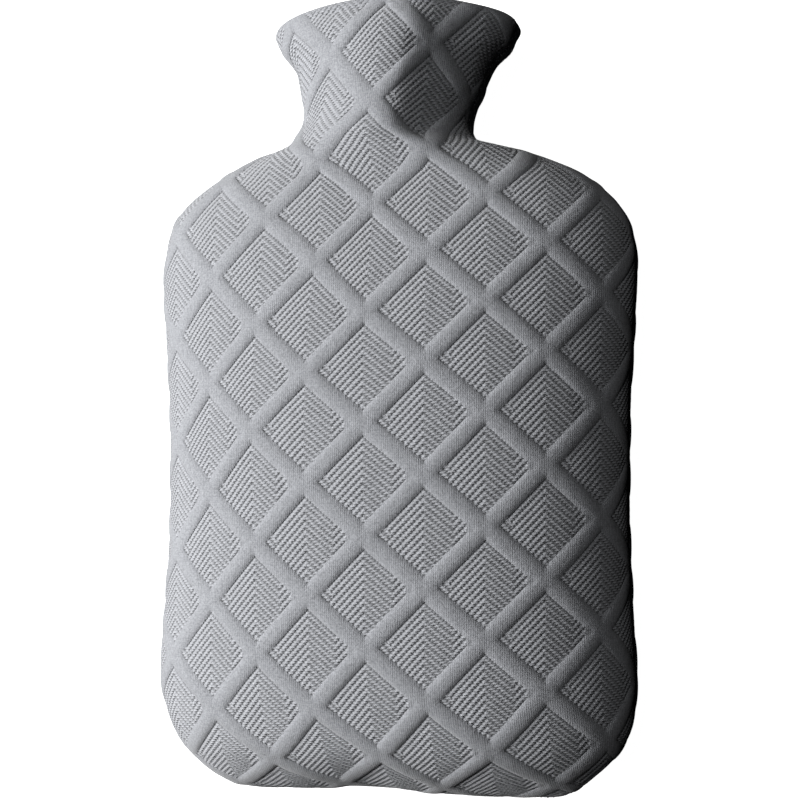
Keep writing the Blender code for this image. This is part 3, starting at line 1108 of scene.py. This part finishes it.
@dataclass
class StitchRow:
    """A row of short stitches along a seam, all alike but for a little unevenness."""

    name: str
    spacing: float = 2.6
    reach: float = 1.5  # how far a stitch goes to each side of the seam
    slant: float = 0.5
    lift: float = 0.25
    thread: float = 0.32  # radius of the yarn
    unevenness: float = 0.12  # radians
    seed: int = 7

    def tree(self) -> bpy.types.GeometryNodeTree:
        """Build the node tree that lays stitches along a line of points.

        Returns:
            The tree. Its line carries the attribute outward, the way that stitches stand.
        """
        tree = bpy.data.node_groups.new(self.name + "_nodes", "GeometryNodeTree")
        ports = tree.interface
        sizes = ("Spacing", "Reach", "Slant", "Lift", "Thread", "Unevenness")
        kinds = {"Geometry": "Geometry", **dict.fromkeys(sizes, "Float"), "Seed": "Int",
                 "Material": "Material"}
        for title, kind in kinds.items():
            ports.new_socket(title, in_out="INPUT", socket_type="NodeSocket" + kind)
        ports.new_socket("Geometry", in_out="OUTPUT", socket_type="NodeSocketGeometry")
        given = add_node(tree, "NodeGroupInput").outputs
        line = add_node(tree, "GeometryNodeMeshToCurve", {0: given["Geometry"]})
        evened = add_node(tree, "GeometryNodeResampleCurve", {
            "Curve": line, "Length": given["Spacing"]}, mode="LENGTH")
        outward = add_node(tree, "GeometryNodeInputNamedAttribute", {"Name": "outward"},
                           data_type="FLOAT_VECTOR")
        tangent = add_node(tree, "GeometryNodeInputTangent")
        turned = add_node(tree, "FunctionNodeAxesToRotation", {0: outward, 1: tangent},
                          primary_axis="Z", secondary_axis="X")
        less = {title: Wire(tree, given[title]) * -1.0
                for title in ("Slant", "Reach", "Lift", "Unevenness")}
        start = add_node(tree, "ShaderNodeCombineXYZ", {
            0: less["Slant"], 1: less["Reach"], 2: less["Lift"]})
        middle = add_node(tree, "ShaderNodeCombineXYZ", {2: given["Lift"]})
        end = add_node(tree, "ShaderNodeCombineXYZ", {
            0: given["Slant"], 1: given["Reach"], 2: less["Lift"]})
        arc = add_node(tree, "GeometryNodeCurveQuadraticBezier", {
            "Resolution": 5, "Start": start, "Middle": middle, "End": end})
        round_yarn = add_node(tree, "GeometryNodeCurvePrimitiveCircle", {
            "Resolution": 6, "Radius": given["Thread"]})
        stitch = add_node(tree, "GeometryNodeCurveToMesh", {
            "Curve": arc, "Profile Curve": round_yarn, "Fill Caps": True})
        jitter = add_node(tree, "FunctionNodeRandomValue", {
            2: less["Unevenness"], 3: given["Unevenness"], "Seed": given["Seed"]},
            data_type="FLOAT")
        twist = add_node(tree, "ShaderNodeCombineXYZ", {2: jitter.outputs[1]})
        laid = add_node(tree, "GeometryNodeInstanceOnPoints", {
            "Points": evened, "Instance": stitch, "Rotation": turned})
        uneven = add_node(tree, "GeometryNodeRotateInstances", {
            "Instances": laid, "Rotation": twist})
        real = add_node(tree, "GeometryNodeRealizeInstances", {0: uneven})
        soft = add_node(tree, "GeometryNodeSetShadeSmooth", {0: real})
        dressed = add_node(tree, "GeometryNodeSetMaterial", {
            "Geometry": soft, "Material": given["Material"]})
        add_node(tree, "NodeGroupOutput", {0: dressed})
        return tree

    def build(self, path: np.ndarray, outward: np.ndarray,
              yarn: bpy.types.Material) -> bpy.types.Object:
        """Lay the stitches along a path.

        Args:
            path: Points of the path, in metres.
            outward: The way that the stitches stand at each point.
            yarn: The stitches' material.

        Returns:
            The stitches as one plain mesh object.
        """
        data = bpy.data.meshes.new(self.name + "_line")
        steps = [(k, k + 1) for k in range(len(path) - 1)]
        data.from_pydata(path.tolist(), steps, [])
        way = data.attributes.new("outward", "FLOAT_VECTOR", "POINT")
        way.data.foreach_set("vector", outward.astype(np.float32).ravel())
        line = add_object(self.name + "_line", data)
        modifier = line.modifiers.new("stitches", "NODES")
        tree = self.tree()
        modifier.node_group = tree
        sizes = {"Spacing": self.spacing * MM, "Reach": self.reach * MM,
                 "Slant": self.slant * MM, "Lift": self.lift * MM,
                 "Thread": self.thread * MM, "Unevenness": self.unevenness,
                 "Seed": self.seed, "Material": yarn}
        for socket in tree.interface.items_tree:
            if socket.in_out == "INPUT" and socket.name in sizes:
                modifier[socket.identifier] = sizes[socket.name]
        evaluated = line.evaluated_get(bpy.context.evaluated_depsgraph_get())
        mesh = bpy.data.meshes.new_from_object(evaluated)
        mesh.name = self.name
        bpy.data.objects.remove(line)
        log.info("%s: %d faces", self.name, len(mesh.polygons))
        return add_object(self.name, mesh)


@dataclass
class KnittedCover:
    """The whole cover: two panels of one knit, linked round the sides and the bottom."""

    body: str
    finish: DoubleKnit = field(default_factory=DoubleKnit)
    yarn: SewingYarn = field(default_factory=SewingYarn)
    seam_sink: float = 0.75  # the linking stitches' line lies this deep in the seam's groove
    hem_inset: float = 0.4
    hem_sink: float = 0.1  # the hem's stitches are this deep in its cloth
    side_samples: int = 300
    foot_samples: int = 80
    hem_samples: int = 90

    def __post_init__(self) -> None:
        """Set out the two panels."""
        self.front = CoverPanel("front_panel_knit", Facing.FRONT, "front_panel", "front_knit")
        self.back = CoverPanel("back_panel_knit", Facing.BACK, "back_panel", "back_knit")

    def seam_path(self) -> tuple[np.ndarray, np.ndarray]:
        """Follow the seam from the collar's left side round the bottom to its right side.

        Returns:
            Points in the seam's groove, and the outward directions there.
        """
        form = self.front.form
        q = np.linspace(form.length, 0.0, self.side_samples)
        left, right = form.edges(q)
        low = np.linspace(left[-1], right[-1], self.foot_samples)[1:-1]
        p = np.concatenate([left, low, right[::-1]])
        q = np.concatenate([q, np.zeros(len(low)), q[::-1]])
        base, normal = form.at(p, q)
        normal[:, 2] = 0.0
        normal /= np.linalg.norm(normal, axis=1)[:, None]
        base[:, 2] = self.front.loft.seam_height
        return base - normal * self.seam_sink, normal

    def hem_path(self) -> tuple[np.ndarray, np.ndarray]:
        """Follow the hem's lower edge once round the inside of the neck.

        Returns:
            Points on the hem's edge, and the directions towards the hollow there.
        """
        points, inwards = [], []
        for panel, turn in ((self.front, 1), (self.back, -1)):
            along = panel.form.length - panel.hem_depth - self.hem_inset
            left, right = panel.form.edges(along)
            p = np.linspace(left, right, self.hem_samples)[::turn]
            base, normal = panel.form.at(p, np.full(len(p), along))
            points.append(base - normal * (2.0 * panel.hem_roll - self.hem_sink))
            inwards.append(-normal)
        return np.concatenate(points), np.concatenate(inwards)

    def build(self) -> None:
        knit_material = self.finish.build(self.front.knit)
        panels = [(panel, panel.build()) for panel in (self.front, self.back)]
        shift = self.shift_to_frame([piece for _, piece in panels])
        for _, piece in panels:
            piece.data.transform(Matrix.Translation(shift))
            piece.data.materials.append(knit_material)
        yarn_material = self.yarn.build()
        rows = (StitchRow("seam_stitches"), StitchRow("hem_stitches", spacing=3.2, reach=1.3,
                                                     slant=0.6, lift=0.2, thread=0.25))
        sewn = []
        for row, (path, outward) in zip(rows, (self.seam_path(), self.hem_path())):
            piece = row.build(path * MM + np.array(shift), outward, yarn_material)
            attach(piece, self.body)
            sewn.append(piece)
        self.front.declare(panels[0][1], self.body, sewn)
        self.back.declare(panels[1][1], self.body, [])

    @staticmethod
    def shift_to_frame(pieces: list[bpy.types.Object]) -> Vector:
        """Find the move that centres the pieces on the CAD part.

        Args:
            pieces: The two panels, in the cloth's own frame.

        Returns:
            The move in metres, level with the ground.
        """
        points = np.concatenate([
            np.array([v.co for v in piece.data.vertices]) for piece in pieces])
        boxes = [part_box(node) for node in ("front_panel", "back_panel")]
        low = [min(box[0][k] for box in boxes) for k in range(2)]
        high = [max(box[1][k] for box in boxes) for k in range(2)]
        middle = (points.min(axis=0) + points.max(axis=0)) / 2.0
        return Vector(((low[0] + high[0]) / 2.0 - middle[0],
                       (low[1] + high[1]) / 2.0 - middle[1], 0.0))


@dataclass
class Studio:
    """Pale floor, soft light from the left and the camera above. Lengths are metres."""

    turn: float = 15.0  # degrees that the camera leans to the cover's right
    tilt: float = 2.5  # degrees that it leans towards the cover's bottom
    distance: float = 0.70
    view_width: float = 0.34216  # what the picture spans at the target
    target: tuple[float, float, float] = (0.0037, 0.0006, 0.0375)
    sensor: float = 36.0  # millimetres
    clip: tuple[float, float] = (0.05, 50.0)
    floor_size: float = 12.0
    key_direction: tuple[float, float, float] = (-0.85, 0.08, 0.50)
    key_power: float = 57.0  # watts
    key_size: float = 1.2
    fill_direction: tuple[float, float, float] = (-0.13, 0.22, 0.97)
    fill_power: float = 5.2
    fill_size: float = 0.7
    lamp_distance: float = 1.7
    ambient: float = 0.002

    def build(self) -> None:
        """Set up the floor, the light and the camera."""
        self.lay_floor()
        self.light()
        self.place_camera()
        bpy.context.scene.view_settings.view_transform = "Standard"

    def lay_floor(self) -> None:
        """Lay a plain white floor that doesn't throw light back onto the cover."""
        mesh = bpy.data.meshes.new("floor")
        half = self.floor_size / 2.0
        corners = [(x * half, y * half, 0.0) for x, y in ((-1, -1), (1, -1), (1, 1), (-1, 1))]
        mesh.from_pydata(corners, [], [(0, 1, 2, 3)])
        material, shader = new_material("white_paper_floor")
        feed(shader, {"Base Color": linear("#f4f4f4"), "Roughness": 1.0,
                      "Emission Color": linear("#ffffff"), "Emission Strength": 1.0})
        mesh.materials.append(material)
        floor = add_object("floor", mesh)
        floor.visible_diffuse = floor.visible_glossy = False

    def light(self) -> None:
        """Set a soft key light low on the left, a weak one above, and the surroundings.

        The camera sees the surroundings as white, but they hardly light the cover.
        """
        for name, direction, power, size in (
                ("key", self.key_direction, self.key_power, self.key_size),
                ("fill", self.fill_direction, self.fill_power, self.fill_size)):
            lamp = bpy.data.lights.new(name, "AREA")
            lamp.shape = "DISK"
            lamp.size = size
            lamp.energy = power
            way = Vector(direction).normalized()
            stand = add_object(name, lamp)
            stand.location = Vector(self.target) + way * self.lamp_distance
            stand.rotation_euler = way.to_track_quat("Z", "Y").to_euler()
        world = bpy.data.worlds.new("studio")
        world.use_nodes = True
        tree = world.node_tree
        tree.nodes.clear()
        path = add_node(tree, "ShaderNodeLightPath")
        dim = add_node(tree, "ShaderNodeBackground", {"Strength": self.ambient})
        white = add_node(tree, "ShaderNodeBackground", {
            "Color": linear("#ffffff"), "Strength": 1.0})
        seen = add_node(tree, "ShaderNodeMixShader", {
            0: path.outputs["Is Camera Ray"], 1: dim, 2: white})
        add_node(tree, "ShaderNodeOutputWorld", {"Surface": seen})
        bpy.context.scene.world = world

    def place_camera(self) -> None:
        """Place the camera above the cover, leaning as the photograph's does."""
        camera = bpy.data.cameras.new("camera")
        camera.sensor_fit = "HORIZONTAL"
        camera.sensor_width = self.sensor
        camera.lens = self.sensor * self.distance / self.view_width
        camera.clip_start, camera.clip_end = self.clip
        leaning = Euler((math.radians(self.tilt), math.radians(self.turn), 0.0)).to_matrix()
        place = Vector(self.target) + leaning.col[2] * self.distance
        stand = add_object("camera", camera)
        stand.matrix_world = Matrix.Translation(place) @ leaning.to_4x4()
        bpy.context.scene.camera = stand


def main() -> None:
    """Load the CAD frame, dress it and set up the studio."""
    logging.basicConfig(level=logging.INFO, format="%(name)s: %(message)s")
    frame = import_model()
    KnittedCover(body=next(iter(frame["bodies"]))).build()
    Studio().build()


if __name__ == "__main__":
    main()
